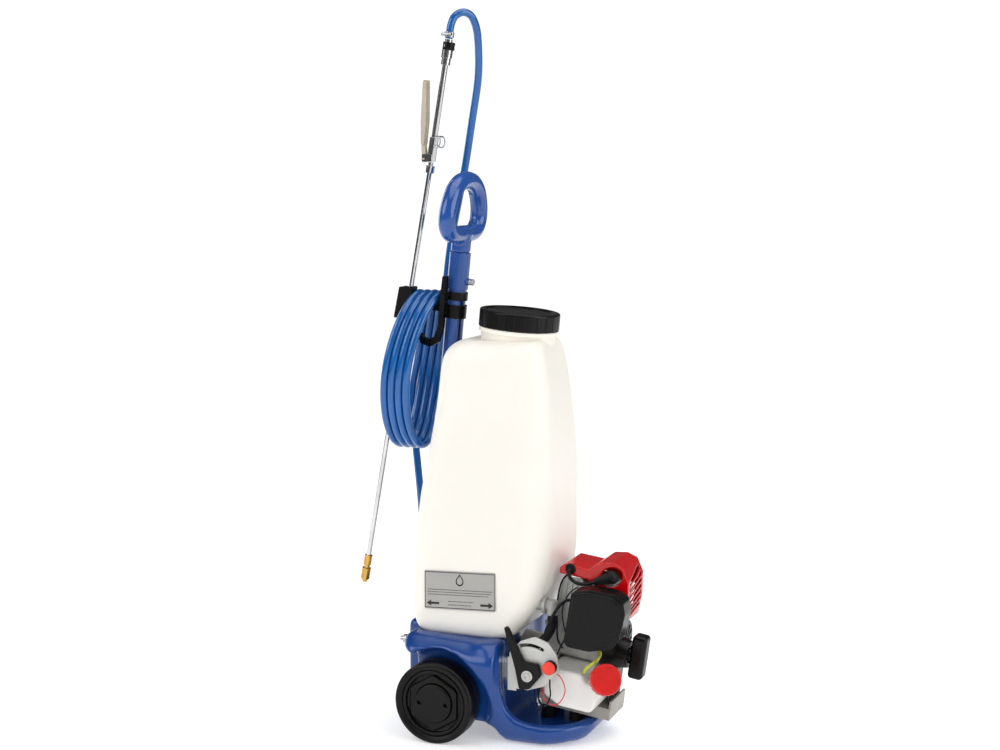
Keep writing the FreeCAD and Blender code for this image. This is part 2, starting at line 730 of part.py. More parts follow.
def flywheel():
    disc = engine_rod(100, 107, 0, CRANK_Z, 39)
    blades = []
    for k in range(10):
        blade = box(106, 110, 20, 38, CRANK_Z - 1.2, CRANK_Z + 1.2)
        blade.rotate(V(0, 0, CRANK_Z), X, 36 * k)
        blades.append(blade)
    return fuse([disc] + blades).cut(engine_rod(99, 111, 0, CRANK_Z, CRANK_R))


def pump_body():
    """Pump block behind the gear case, its inlet near side and outlet far side."""
    z = pump_z()
    body = fuse([engine_rod(-48, -0.2, 0, z, 26), engine_rod(-8, -0.2, 0, z, 34),
                 rod(V(-25, -20, z + 6), V(-25, -38, z + 6), 9),
                 rod(V(-25, -38, z + 6), V(-25, -52, z + 6), 4.9)])
    body = body.cut(engine_rod(-32, 1, 0, z, PUMP_SHAFT_R + RUN_GAP))
    body = engine(body.cut(rod(V(-25, -15, z + 6), V(-25, -53, z + 6), 3.0)))
    outlet = fuse([rod(GLAND + X * 155, GLAND + X * 184, 9.0),
                   rod(GLAND + X * 140, GLAND + X * 156, HOSE_BORE_R - 0.1),
                   rod(GLAND + V(173, 6, 0), GLAND + V(173, -45, 6), 7.0)])
    return fuse([body, outlet])


def suction_hose():
    """Short hose from the tank outlet down and back to the pump inlet."""
    top = V(177, OUTLET_Y, OUTLET_Z - 16)
    inlet = engine(Part.Vertex(V(-25, -40, pump_z() + 6))).Point
    points = [top, top - Z * 6, top - Z * 12, top - Z * 18, V(168, -76, 176),
              V(142, -82, 156), inlet - Y * 22, inlet - Y * 14, inlet - Y * 7, inlet]
    return spline_rod(points, 7.5, 5.0)


def cylinder():
    x, reach = 70, 29
    parts = [rod(V(x, 0, 30), V(x, 0, 92), 23), box(46, 94, -30, 30, 30, 36)]
    for k in range(8):
        low = 42 + 6.2 * k
        fin = box(x - reach, x + reach, -34, 34, low, low + 2.2)
        parts.append(rounded(fin, 8.0, lambda p: abs(p.z - low - 1.1) < 0.1))
    parts.append(rod(V(x, 0, 88), V(x, 0, 98), 24))
    parts.append(box(60, 80, -36, -20, 40, 60))
    parts.append(box(58, 82, 20, 37, 52, 78))
    body = fuse(parts).cut(rod(V(x, 0, 29), V(x, 0, 86), BORE_R))
    body = body.cut(rod(V(x, -40, 50), V(x, 0, 50), 7))
    body = body.cut(rod(V(x, 0, 65), V(x, 40, 65), 8))
    return body.cut(plug_rod(-2, 16, 5.0)).cut(plug_rod(14, 22, 9.5))


def plug_point(t):
    """Point t millimetres out along the spark plug's axis."""
    return V(75, -6, 92) + V(0.53, -0.77, 0.35) * t


def plug_rod(t0, t1, radius):
    return rod(plug_point(t0), plug_point(t1), radius)


def spark_plug():
    return fuse([plug_rod(0, 15, 5.0), plug_rod(14.2, 22, 8.5), plug_rod(21, 44, 4.4)])


def plug_boot():
    """Rubber elbow over the plug, with the ignition lead to the cowl."""
    end = plug_point(50)
    boot = fuse([plug_rod(25, 48, 11.0), Part.makeSphere(12.0, end),
                 taper(end, V(76, -58, 98), 10.5, 5.5)])
    boot = boot.cut(plug_rod(20, 44.5, 4.4))
    lead = spline_rod([V(78, -58, 98.5), V(62, -58, 92), V(46, -57, 90),
                       V(33, -55, 97), V(29, -52, 106), V(29, -47, 108), V(29, -43, 108)], 3.0)
    return boot.fuse(lead)


COWL = [(10, 96), (10, 106), (17, 114), (60, 114), (78, 130), (100, 134), (118, 129),
        (132, 106), (136, 66), (133, 31), (124, 31), (122, 84), (84, 83), (62, 96)]


def cowl():
    """Red engine cover: a low tail, a tall peak and a slotted front face."""
    wire = rounded_outline([V(x, -45, z) for x, z in COWL], 4.0)
    outer = Part.Face(wire).extrude(Y * 90)
    inner = Part.Face(wire).makeOffset2D(-2.6).extrude(Y * 84.8)
    inner.translate(Y * 2.6)
    shell = outer.cut(inner)
    shell = shell.cut(box(13, 121, -42.4, 42.4, 78, 100))
    shell = shell.cut(plug_rod(18, 80, 15.5))
    shell = shell.cut(rod(V(29, -50, 108), V(29, -40, 108), 7.0))
    for k in range(7):
        slot = box(118, 140, -36, 36, 0, 5.5)
        slot.rotate(V(130, 0, 0), X, 12)
        slot.translate(Z * (44 + 10.5 * k))
        shell = shell.cut(slot)
    return shell


def starter_housing():
    """Black recoil housing, with the leg that stands on the bracket."""
    drum = engine_rod(99, 130, 0, CRANK_Z, 44)
    drum = rounded(drum, 5.0, lambda p: p.x > 129)
    leg = box(121.5, 127.3, -22, 22, -117, -30)
    guide = taper(V(128, -24, CRANK_Z - 5), V(147, -24, CRANK_Z - 5), 27, 23)
    house = fuse([drum, leg, guide]).cut(engine_rod(98, 127, 0, CRANK_Z, 41))
    house = house.cut(engine_rod(130, 148, -24, CRANK_Z - 5, 15.5))
    post = engine_rod(113, 128, 0, CRANK_Z, 4)
    house = fuse([house, post])
    return house.cut(engine_rod(120, 135, -24, CRANK_Z - 5, 2.5))


def recoil_pulley():
    wheel = engine_rod(114, 122, 0, CRANK_Z, 26)
    groove = engine_rod(116, 120, 0, CRANK_Z, 27).cut(engine_rod(116, 120, 0, CRANK_Z, 21))
    return wheel.cut(groove).cut(engine_rod(113, 123, 0, CRANK_Z, 4 + RUN_GAP))


def starter_grip():
    y, z = -24, CRANK_Z - 5
    stem = taper(V(131, y, z), V(154, y, z), 13, 10)
    bar = box(150, 176, y - 15, y + 15, z - 37, z + 38)
    bar = rounded(bar, 7.0, lambda p: True)
    return fuse([stem, bar]).cut(rod(V(130, y, z), V(160, y, z), 1.9))


def starter_rope():
    return engine_rod(124, 159, -24, CRANK_Z - 5, 1.8)


def carburettor():
    body = box(58, 88, -58, -44, 36, 64)
    body = rounded(body, 3.0, lambda p: True)
    inlet = rod(V(70, -36.1, 50), V(70, -46, 50), 12)
    bowl = rod(V(73, -51, 30), V(73, -51, 38), 7)
    whole = fuse([body, inlet, bowl, rod(V(70, -56, 50), V(70, -62, 50), 12)])
    return whole.cut(rod(V(70, -30, 50), V(70, -70, 50), 7))


FILTER = [(54, 88), (83, 98), (126, 100), (144, 90), (150, 70), (146, 26), (135, 8),
          (98, -5), (60, -6), (53, 2)]


def filter_outline(y, inset):
    wire = rounded_outline([V(x, y, z) for x, z in FILTER], 10.0)
    face = Part.Face(wire)
    return face.makeOffset2D(-inset) if inset else face


def air_filter_base():
    plate = filter_outline(-70, 3.0).extrude(Y * 8)
    return plate.cut(rod(V(70, -75, 50), V(70, -60, 50), 10))


def air_filter_cover():
    front = filter_outline(-114, 6.0).extrude(Y * 8)
    body = filter_outline(-108, 0).extrude(Y * 37.8)
    shell = fuse([front, body]).cut(filter_outline(-105, 2.8).extrude(Y * 40))
    return shell.cut(filter_outline(-111, 8.8).extrude(Y * 8))


def muffler():
    can = rounded(box(46, 106, 47, 91, 18, 88), 7.0, lambda p: True)
    flange = box(56, 84, 37.2, 49, 50, 80)
    tail = rod(V(100, 78, 30), V(116, 78, 30), 6)
    whole = fuse([can, flange, tail])
    inside = rounded(box(48, 104, 49, 89, 20, 86), 6.0, lambda p: True)
    return whole.cut(inside).cut(rod(V(70, 30, 65), V(70, 50, 65), 8))


FUEL_TANK = [(27, -50), (88, -50), (97, -62), (112, -66), (120, -88), (114, -112),
             (58, -113), (27, -98)]
FUEL_NECK = V(119, -80, -59)
FUEL_WAY = V(0.42, -0.80, 0.43)
FUEL_NECK_R = 17.0


def fuel_axis(t):
    """Point t millimetres out along the fuel filler's axis."""
    return FUEL_NECK + FUEL_WAY * t


def fuel_rod(t0, t1, radius):
    return rod(fuel_axis(t0), fuel_axis(t1), radius)


def fuel_tank():
    wire = rounded_outline([V(x, -98, z) for x, z in FUEL_TANK], 8.0)
    outer = Part.Face(wire).extrude(Y * 150)
    outer = rounded(outer, 4.0, lambda p: p.y < -97.5 or p.y > 51.5)
    outer = outer.fuse(fuel_rod(-20, 30, FUEL_NECK_R))
    inner = Part.Face(wire).makeOffset2D(-2.5).extrude(Y * 145)
    inner.translate(Y * 2.5)
    return outer.cut(inner).cut(fuel_rod(-14, 40, 13.5))


def fuel_cap():
    cap = fuel_rod(26, 44, 26)
    cap = rounded(cap, 3.0, lambda p: (p - fuel_axis(44)).Length < 0.5)
    for k in range(16):
        flute = fuel_rod(25, 40, 2.4)
        flute.translate(FUEL_WAY.cross(X).normalize() * 27.2)
        flute.rotate(FUEL_NECK, FUEL_WAY, 22.5 * k)
        cap = cap.cut(flute)
    return cap.cut(fuel_rod(25, 31.5, FUEL_NECK_R + 0.3))


def fuel_line():
    """Fuel hose from the tank top up to the carburettor."""
    return spline_rod([V(90, -86, -49.5), V(93, -88, -40), V(104, -90, -28), V(110, -80, -18),
                       V(104, -64, -12), V(88, -54, 4), V(75, -51, 17), V(73, -51, 24),
                       V(73, -51, 29.5)], 3.0)


def engine_bracket():
    """Pressed steel channel under the engine, turned up at the front."""
    plate = box(1, 132, -40, 40, -120.2, -117.2)
    front = box(128.5, 132, -40, 40, -137, -104)
    sides = [box(1, 132, s * 40 - 1.5, s * 40 + 1.5, -137, -117.2) for s in (-1, 1)]
    return fuse([plate, front] + sides)


def rubber_mounts():
    mounts = []
    ground = box(-100, 400, -200, 200, -100, TRAY_Z)
    for x in (20, 70):
        for y in (-24, 24):
            leg = engine(rod(V(x, y, -120.2), V(x, y, -180), 12))
            mounts.append(leg.cut(ground))
    return Part.makeCompound(mounts)


# ---------------------------------------------------------------- controls

PLATE_Y = -119.0
LEVER_PIVOT = V(157, PLATE_Y, 126)
STOP_AT = V(195, PLATE_Y, 143)


def control_plate():
    """Pressed plate that carries the throttle quadrant and the stop button."""
    outline = [(122, 150), (134, 152), (131, 100), (155, 99), (185, 109), (210, 136),
               (205, 164), (190, 183), (167, 191), (141, 181), (122, 160)]
    plate = side_slab(outline, 6.0, PLATE_Y, PLATE_Y + 3)
    flange = box(119, 122, PLATE_Y, PLATE_Y + 18, 96, 152)
    foot = box(119, 134, PLATE_Y, PLATE_Y + 3, 96, 152)
    tab = box(WALL_X + 1.2, 122, PLATE_Y + 15, PLATE_Y + 18, 112, 136)
    plate = fuse([plate, flange, foot, tab])
    slot = []
    for k in range(9):
        a = math.radians(62 + 6 * k)
        slot.append(LEVER_PIVOT + V(50 * math.cos(a), -4, 50 * math.sin(a)))
    for a, b in zip(slot, slot[1:]):
        cut = rod(a, a + Y * 10, 3.0)
        link = b - a
        side = V(-link.z, 0, link.x).normalize() * 3.0
        wire = Part.makePolygon([a + side, b + side, b - side, a - side, a + side])
        plate = plate.cut(cut).cut(Part.Face(wire).extrude(Y * 10))
    plate = plate.cut(rod(LEVER_PIVOT - Y * 2, LEVER_PIVOT + Y * 5, 4.0 + RUN_GAP))
    return plate.cut(rod(STOP_AT - Y * 2, STOP_AT + Y * 5, 8.0))


def throttle_lever():
    y0, y1 = PLATE_Y - 9, PLATE_Y - 1
    arm = [(115, 205), (122, 206), (150, 150), (176, 147), (181, 128), (160, 103),
           (142, 101), (135, 136), (117, 198)]
    lever = side_slab(arm, 5.0, y0, y1)
    hub = rod(LEVER_PIVOT - Y * 13, LEVER_PIVOT + Y * 5, 4.0)
    washer = rod(LEVER_PIVOT - Y * 11, LEVER_PIVOT - Y * 8, 9.0)
    return fuse([lever, hub, washer])


def stop_housing():
    body = rod(STOP_AT - Y * 5, STOP_AT, 11.5)
    neck_part = rod(STOP_AT - Y * 1, STOP_AT + Y * 18, 7.9)
    whole = fuse([body, neck_part])
    return whole.cut(rod(STOP_AT - Y * 6, STOP_AT + Y * 12, 6.0))


def stop_button():
    cap = rod(STOP_AT - Y * 13, STOP_AT - Y * 8.5, 11.0)
    cap = rounded(cap, 2.0, lambda p: p.y < PLATE_Y - 12)
    return fuse([cap, rod(STOP_AT - Y * 9, STOP_AT + Y * 7, 6.0 - RUN_GAP)])


def throttle_cable():
    """Sheathed cable arching from the control plate to the carburettor."""
    end = engine(Part.Vertex(V(57.5, -52, 56))).Point
    points = [V(160, PLATE_Y + 8, 106), V(165, -108, 128), V(171, -100, 155),
              V(176, -94, 190), V(188, -87, 222), V(201, -75, 242), V(211, -60, 243),
              end - V(6, 0, -0.8), end - V(3, 0, -0.4), end]
    return spline_rod(points, 2.6)


def wheel_nodes(side, place):
    return {"tyre_" + side: place(tyre()), "wheel_hub_" + side: place(wheel_hub()),
            "hub_cap_" + side: place(hub_cap())}


def parts():
    found = {
        "base_shell": base_shell(), "axle": axle(), "axle_retainers": axle_retainers(),
        "rear_bolts": rear_bolts(), "tank": tank(), "tank_outlet": tank_outlet(),
        "tank_label": tank_label(), "filler_cap": filler_cap(), "cap_seal": cap_seal(),
        "strainer_basket": strainer_basket(), "handle_outer_tube": handle_outer_tube(),
        "tube_collar": tube_collar(), "lock_knob": lock_knob(),
        "handle_inner_tube": handle_inner_tube(), "d_grip": d_grip(),
        "hose_hook": hose_hook(), "lance_clip": lance_clip(), "spray_hose": spray_hose(),
        "hose_clamp": hose_clamp(), "gun_body": gun_body(), "gun_lever": gun_lever(),
        "lock_clasp": lock_clasp(), "lance_tube": lance_tube(),
        "nozzle_body": nozzle_body(), "nozzle_cap": nozzle_cap(),
        "pump_body": pump_body(), "suction_hose": suction_hose(),
        "rubber_mounts": rubber_mounts(), "control_plate": control_plate(),
        "throttle_lever": throttle_lever(), "stop_housing": stop_housing(),
        "stop_button": stop_button(), "throttle_cable": throttle_cable(),
    }
    in_engine = {
        "gear_case": gear_case(), "crankcase": crankcase(),
        "crankshaft": crankshaft(), "pump_shaft": pump_shaft(), "flywheel": flywheel(),
        "cylinder": cylinder(), "spark_plug": spark_plug(), "plug_boot": plug_boot(),
        "cowl": cowl(), "starter_housing": starter_housing(),
        "recoil_pulley": recoil_pulley(), "starter_grip": starter_grip(),
        "starter_rope": starter_rope(), "carburettor": carburettor(),
        "air_filter_base": air_filter_base(), "air_filter_cover": air_filter_cover(),
        "muffler": muffler(),
        "fuel_tank": fuel_tank(), "fuel_cap": fuel_cap(),
        "fuel_line": fuel_line(), "engine_bracket": engine_bracket(),
    }
    found.update({node: engine(shape) for node, shape in in_engine.items()})
    found.update(wheel_nodes("right", lambda shape: shape))
    found.update(wheel_nodes("left", both_sides))
    return found


def save(node, shape):
    moved = shape.copy()
    moved.translate(X * -FOOTPRINT_X)
    moved.exportStep("parts/" + node + ".step")


os.makedirs("parts", exist_ok=True)
for name, solid in parts().items():
    save(name, solid)
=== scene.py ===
import json
import math

import bmesh
import bpy
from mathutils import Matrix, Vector


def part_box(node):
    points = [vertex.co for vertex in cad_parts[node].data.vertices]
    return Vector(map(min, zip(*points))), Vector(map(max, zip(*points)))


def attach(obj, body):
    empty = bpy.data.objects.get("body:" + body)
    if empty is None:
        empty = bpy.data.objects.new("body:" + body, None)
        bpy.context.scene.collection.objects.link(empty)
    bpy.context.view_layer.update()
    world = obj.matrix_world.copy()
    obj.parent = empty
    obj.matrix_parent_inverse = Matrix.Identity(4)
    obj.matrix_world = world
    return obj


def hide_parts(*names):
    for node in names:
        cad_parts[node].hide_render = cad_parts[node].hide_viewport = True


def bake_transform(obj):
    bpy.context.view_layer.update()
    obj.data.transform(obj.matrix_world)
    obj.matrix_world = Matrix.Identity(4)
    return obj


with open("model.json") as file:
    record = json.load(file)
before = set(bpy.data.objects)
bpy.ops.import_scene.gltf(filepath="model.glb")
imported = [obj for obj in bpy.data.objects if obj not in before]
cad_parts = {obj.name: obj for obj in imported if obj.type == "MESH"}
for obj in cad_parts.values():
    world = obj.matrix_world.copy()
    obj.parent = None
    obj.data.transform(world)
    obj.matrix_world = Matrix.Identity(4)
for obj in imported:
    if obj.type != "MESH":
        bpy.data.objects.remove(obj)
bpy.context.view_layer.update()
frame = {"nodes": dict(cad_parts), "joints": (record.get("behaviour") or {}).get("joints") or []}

NODES = frame["nodes"]
JOINTS = {joint["name"]: joint for joint in frame["joints"]}
ACROSS = Vector((0, 1, 0))
MM = 0.001


# ------------------------------------------------------------------ places in the frame

def middle(node):
    low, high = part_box(node)
    return (low + high) / 2


AXLE_X = middle("axle").x

CRANK = Vector(JOINTS["crank_spin"]["pos_m"])
CRANK_AHEAD = Vector(JOINTS["crank_spin"]["axis"])
CRANK_UP = CRANK_AHEAD.cross(ACROSS)
CRANK_Z = -15

TUBE_UP = Vector(JOINTS["handle_extend"]["axis"])
TUBE_AHEAD = Vector(JOINTS["lock_knob_turn"]["axis"])
KNOB_REACH = 30
TUBE_KNOB = Vector(JOINTS["lock_knob_turn"]["pos_m"]) - TUBE_AHEAD * KNOB_REACH * MM


def at(x, y, z):
    """Millimetres ahead of the axle, to the far side and above the ground."""
    return Vector((AXLE_X + x * MM, y * MM, z * MM))


def eng(x, y, z):
    """Millimetres in the engine's tilted frame, with the crank axis at z = CRANK_Z."""
    return CRANK + (CRANK_AHEAD * x + ACROSS * y + CRANK_UP * (z - CRANK_Z)) * MM


def tube(s, ahead=0.0, side=0.0):
    """Millimetres up the handle tube from its clamp screw, ahead of it and beside it."""
    return TUBE_KNOB + (TUBE_UP * s + TUBE_AHEAD * ahead + ACROSS * side) * MM


# ------------------------------------------------------------------ materials

def linear(red, green, blue):
    """Linear colour from one given in the usual 0 to 255 steps."""
    def one(value):
        value /= 255
        return value / 12.92 if value <= 0.04045 else ((value + 0.055) / 1.055) ** 2.4
    return (one(red), one(green), one(blue), 1.0)


def scaled(colour, by):
    return tuple(min(1.0, part * by) for part in colour[:3]) + (1.0,)


def add(tree, kind, values=None, **settings):
    """New shader node; values are numbers or other nodes' outputs, by input."""
    made = tree.nodes.new("ShaderNode" + kind)
    for key, value in settings.items():
        setattr(made, key, value)
    for key, value in (values or {}).items():
        if isinstance(value, bpy.types.NodeSocket):
            tree.links.new(value, made.inputs[key])
        else:
            made.inputs[key].default_value = value
    return made


def mix(tree, share, a, b):
    return add(tree, "Mix", {0: share, 6: a, 7: b}, data_type="RGBA").outputs[2]


def span(tree, value, low, high, to_low=0.0, to_high=1.0):
    return add(tree, "MapRange", {0: value, 1: low, 2: high, 3: to_low, 4: to_high}).outputs[0]


def maths(tree, operation, a, b):
    return add(tree, "Math", {0: a, 1: b}, operation=operation).outputs[0]


def surface(name, colour, rough, metal=0.0, blotch=(18, 0.12), grain=(900, 0.1), edge=0.6,
            worn=0.3, coat=0.0, under=0.0, streak=(1, 1, 1), relief=None, gloss=0.4):
    """Finish with cloudy colour, fine grain, softened and rubbed edges; edge is in mm."""
    made = bpy.data.materials.new(name)
    made.use_nodes = True
    tree = made.node_tree
    out = tree.nodes["Principled BSDF"]
    where = add(tree, "TexCoord").outputs["Object"]
    along = add(tree, "Mapping", {"Vector": where, "Scale": streak}).outputs[0]
    cloud = add(tree, "TexNoise", {"Vector": where, "Scale": blotch[0], "Detail": 5.0}).outputs[0]
    fine = add(tree, "TexNoise", {"Vector": along, "Scale": grain[0], "Detail": 3.0}).outputs[0]
    cloud = span(tree, cloud, 0.3, 0.7)
    tone = mix(tree, cloud, scaled(colour, 1 - blotch[1]), scaled(colour, 1 + blotch[1]))
    soft = add(tree, "Bevel", {"Radius": edge * MM}, samples=4).outputs[0]
    flat = add(tree, "NewGeometry").outputs["Normal"]
    same = add(tree, "VectorMath", {0: soft, 1: flat}, operation="DOT_PRODUCT").outputs[1]
    patch = add(tree, "TexNoise", {"Vector": where, "Scale": 140.0, "Detail": 4.0}).outputs[0]
    rubbed = maths(tree, "MULTIPLY", span(tree, same, 0.99, 0.80), span(tree, patch, 0.42, 0.6))
    pale = mix(tree, 0.22, scaled(colour, 1.7), (0.5, 0.5, 0.5, 1.0))
    tone = mix(tree, maths(tree, "MULTIPLY", rubbed, worn), tone, pale)
    tree.links.new(tone, out.inputs["Base Color"])
    shine = span(tree, fine, 0.3, 0.7, rough * 0.88, rough * 1.12)
    shine = maths(tree, "ADD", shine, maths(tree, "MULTIPLY", cloud, rough * 0.12))
    tree.links.new(shine, out.inputs["Roughness"])
    height = fine
    if relief:
        height = maths(tree, "ADD", maths(tree, "MULTIPLY", fine, 0.25), relief(tree, where))
    bump = add(tree, "Bump", {"Height": height, "Strength": grain[1], "Distance": 0.0004,
                              "Normal": soft})
    tree.links.new(bump.outputs[0], out.inputs["Normal"])
    out.inputs["Metallic"].default_value = metal
    out.inputs["Specular IOR Level"].default_value = gloss
    out.inputs["Coat Weight"].default_value = coat
    out.inputs["Coat Roughness"].default_value = 0.12
    if under:
        out.inputs["Subsurface Weight"].default_value = under
        out.inputs["Subsurface Radius"].default_value = (1.0, 0.85, 0.65)
        out.inputs["Subsurface Scale"].default_value = 0.02
    return made


def bands(scale, axis="Z", bend=0.0, kind="BANDS"):
    """Relief of even waves, scale to a metre."""
    def make(tree, where):
        wave = add(tree, "TexWave", {"Vector": where, "Scale": scale, "Distortion": bend},
                   wave_type=kind, wave_profile="SIN")
        if kind == "BANDS":
            wave.bands_direction = axis
        return wave.outputs[1]
    return make


MOULD_BLUE = surface("mould_blue", linear(16, 60, 128), 0.22, blotch=(9, 0.14),
                     grain=(700, 0.08), edge=1.5, worn=0.25, coat=0.12)
GRIP_BLUE = surface("grip_blue", linear(30, 74, 146), 0.18, blotch=(16, 0.10),
                    grain=(800, 0.06), worn=0.25, coat=0.35)
PAINT_BLUE = surface("paint_blue", linear(30, 70, 138), 0.19, blotch=(14, 0.10),
                     grain=(1400, 0.05), edge=0.4, worn=0.4, coat=0.4)
HOSE_BLUE = surface("hose_blue", linear(8, 86, 156), 0.13, blotch=(22, 0.12),
                    grain=(1500, 0.06), edge=0.3, worn=0.1, coat=0.5)
TANK_WHITE = surface("tank_white", linear(250, 243, 229), 0.36, blotch=(6, 0.025),
                     grain=(420, 0.05), edge=1.2, worn=0.0, under=0.35)
FUEL_WHITE = surface("fuel_white", linear(232, 228, 222), 0.30, blotch=(22, 0.05),
                     grain=(600, 0.08), edge=1.0, worn=0.1, under=0.3)
BLACK = surface("black_plastic", linear(13, 12, 12), 0.27, blotch=(24, 0.25),
                grain=(1300, 0.12), worn=0.25, gloss=0.18)
FILTER_BLACK = surface("filter_black", linear(9, 8, 8), 0.24, blotch=(14, 0.3),
                       grain=(1900, 0.14), edge=1.2, worn=0.3, gloss=0.18)
TYRE = surface("tyre_black", linear(9, 8, 8), 0.34, blotch=(16, 0.3),
               grain=(1500, 0.2), edge=0.8, worn=0.2, gloss=0.18)
HUB_BLACK = surface("hub_black", linear(11, 10, 9), 0.26, blotch=(18, 0.3),
                    grain=(1200, 0.12), edge=1.0, worn=0.4, gloss=0.18)
RUBBER = surface("rubber_black", linear(22, 22, 23), 0.55, blotch=(30, 0.2),
                 grain=(1600, 0.3), worn=0.15, gloss=0.18)
RED = surface("cowl_red", linear(188, 4, 10), 0.18, blotch=(14, 0.12), grain=(900, 0.08),
              edge=0.9, worn=0.25, coat=0.15)
CAP_RED = surface("cap_red", linear(196, 20, 16), 0.28, blotch=(26, 0.12),
                  grain=(1100, 0.12), edge=0.8, worn=0.2)
BUTTON_RED = surface("button_red", linear(226, 58, 38), 0.33, blotch=(30, 0.1),
                     grain=(900, 0.06), worn=0.2)
CHROME = surface("chrome", linear(206, 207, 208), 0.10, metal=1.0, blotch=(30, 0.10),
                 grain=(1200, 0.04), edge=0.3, worn=0.2, streak=(1, 1, 0.08))
STEEL = surface("zinc_steel", linear(176, 178, 180), 0.32, metal=1.0, blotch=(40, 0.14),
                grain=(1500, 0.16), edge=0.3, worn=0.5)
ALLOY = surface("machined_alloy", linear(190, 190, 188), 0.38, metal=0.6, blotch=(30, 0.12),
                grain=(1100, 0.22), worn=0.5)
CAST = surface("cast_alloy", linear(176, 176, 173), 0.50, metal=0.3, blotch=(36, 0.16),
               grain=(650, 0.5), worn=0.5)
BRASS = surface("brass", linear(206, 160, 84), 0.24, metal=1.0, blotch=(60, 0.18),
                grain=(1400, 0.12), edge=0.3, worn=0.5)
LABEL = surface("label_silver", linear(164, 162, 158), 0.36, metal=0.35, blotch=(10, 0.06),
                grain=(900, 0.06), edge=0.1, worn=0.1, streak=(0.04, 1, 1))
INK = surface("label_ink", linear(30, 30, 32), 0.45, blotch=(60, 0.3), grain=(1800, 0.1),
              edge=0.05, worn=0.1)
INK_GREY = surface("label_grey", linear(70, 70, 72), 0.45, blotch=(60, 0.2),
                   grain=(1800, 0.1), edge=0.05, worn=0.1)
BEIGE = surface("lever_beige", linear(176, 166, 150), 0.38, blotch=(20, 0.10),
                grain=(1100, 0.12), worn=0.3)
PLATE_GREY = surface("plate_grey", linear(184, 184, 180), 0.38, metal=0.35, blotch=(26, 0.12),
                     grain=(1200, 0.2), edge=0.4, worn=0.6)
BRACKET = surface("bracket_paint", linear(158, 155, 148), 0.42, metal=0.35, blotch=(20, 0.2),
                  grain=(1000, 0.25), edge=0.4, worn=0.7)
YELLOW = surface("fuel_yellow", linear(186, 190, 62), 0.22, blotch=(60, 0.2),
                 grain=(900, 0.06), edge=0.3, worn=0.1, under=0.3)
ROPE = surface("rope_white", linear(206, 202, 190), 0.8, blotch=(90, 0.2), grain=(2600, 0.9),
               edge=0.2, worn=0.0, relief=bands(260, "DIAGONAL"))
WIRE_RED = surface("wire_red", linear(206, 24, 40), 0.35, blotch=(50, 0.1),
                   grain=(1500, 0.1), edge=0.2, worn=0.1)
WIRE_BLACK = surface("wire_black", linear(20, 20, 22), 0.42, blotch=(50, 0.2),
                     grain=(1500, 0.12), edge=0.2, worn=0.1, gloss=0.18)

FINISHES = {
    MOULD_BLUE: ["base_shell"],
    GRIP_BLUE: ["d_grip"],
    PAINT_BLUE: ["handle_outer_tube", "handle_inner_tube", "tube_collar"],
    HOSE_BLUE: ["spray_hose"],
    TANK_WHITE: ["tank"],
    FUEL_WHITE: ["fuel_tank", "strainer_basket"],
    BLACK: ["filler_cap", "hose_hook", "lance_clip", "throttle_lever", "stop_housing",
            "starter_grip", "starter_housing", "air_filter_base", "recoil_pulley"],
    FILTER_BLACK: ["air_filter_cover"],
    TYRE: ["tyre_left", "tyre_right"],
    HUB_BLACK: ["wheel_hub_left", "wheel_hub_right", "hub_cap_left", "hub_cap_right"],
    RUBBER: ["cap_seal", "plug_boot", "rubber_mounts", "throttle_cable", "suction_hose"],
    RED: ["cowl"],
    CAP_RED: ["fuel_cap"],
    BUTTON_RED: ["stop_button"],
    CHROME: ["gun_body", "lance_tube"],
    STEEL: ["axle", "axle_retainers", "rear_bolts", "lock_knob", "hose_clamp", "lock_clasp",
            "crankshaft", "pump_shaft", "spark_plug"],
    ALLOY: ["carburettor", "flywheel", "pump_body"],
    CAST: ["crankcase", "gear_case", "cylinder", "muffler", "tank_outlet"],
    BRASS: ["nozzle_body", "nozzle_cap"],
    LABEL: ["tank_label"],
    BEIGE: ["gun_lever"],
    PLATE_GREY: ["control_plate"],
    BRACKET: ["engine_bracket"],
    YELLOW: ["fuel_line"],
    ROPE: ["starter_rope"],
}


def dress_frame():
    """Give every CAD node its finish."""
    for finish, nodes in FINISHES.items():
        for node in nodes:
            mesh = NODES[node].data
            mesh.materials.clear()
            mesh.materials.append(finish)


# ------------------------------------------------------------------ mesh tools

def piece(name, bm, finish, body="frame", crease=35):
    """Turn a bmesh into a named piece that rides on a CAD body."""
    mesh = bpy.data.meshes.new(name)
    bmesh.ops.recalc_face_normals(bm, faces=bm.faces)
    bm.to_mesh(mesh)
    bm.free()
    mesh.materials.append(finish)
    mesh.shade_smooth()
    mesh.set_sharp_from_angle(angle=math.radians(crease))
    made = bpy.data.objects.new(name, mesh)
    bpy.context.scene.collection.objects.link(made)
    if body:
        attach(made, body)
    return made


def add_loft(bm, rings, closed=False):
    """Skin between rings of equal numbers of points, capped or closed into a hoop."""
    loops = [[bm.verts.new(point) for point in ring] for ring in rings]
    count = len(loops[0])
    for low, high in zip(loops, loops[1:] + (loops[:1] if closed else [])):
        for k in range(count):
            bm.faces.new((low[k], low[(k + 1) % count], high[(k + 1) % count], high[k]))
    if not closed:
        bm.faces.new(loops[0])
        bm.faces.new(loops[-1])


def ring_points(centre, way, radius, count=24, bump=None):
    """Circle of points round a direction; bump scales the radius by angle."""
    way = way.normalized()
    side = way.orthogonal().normalized()
    over = way.cross(side)
    points = []
    for k in range(count):
        a = 2 * math.pi * k / count
        r = radius * (bump(a) if bump else 1.0)
        points.append(centre + (side * math.cos(a) + over * math.sin(a)) * r)
    return points


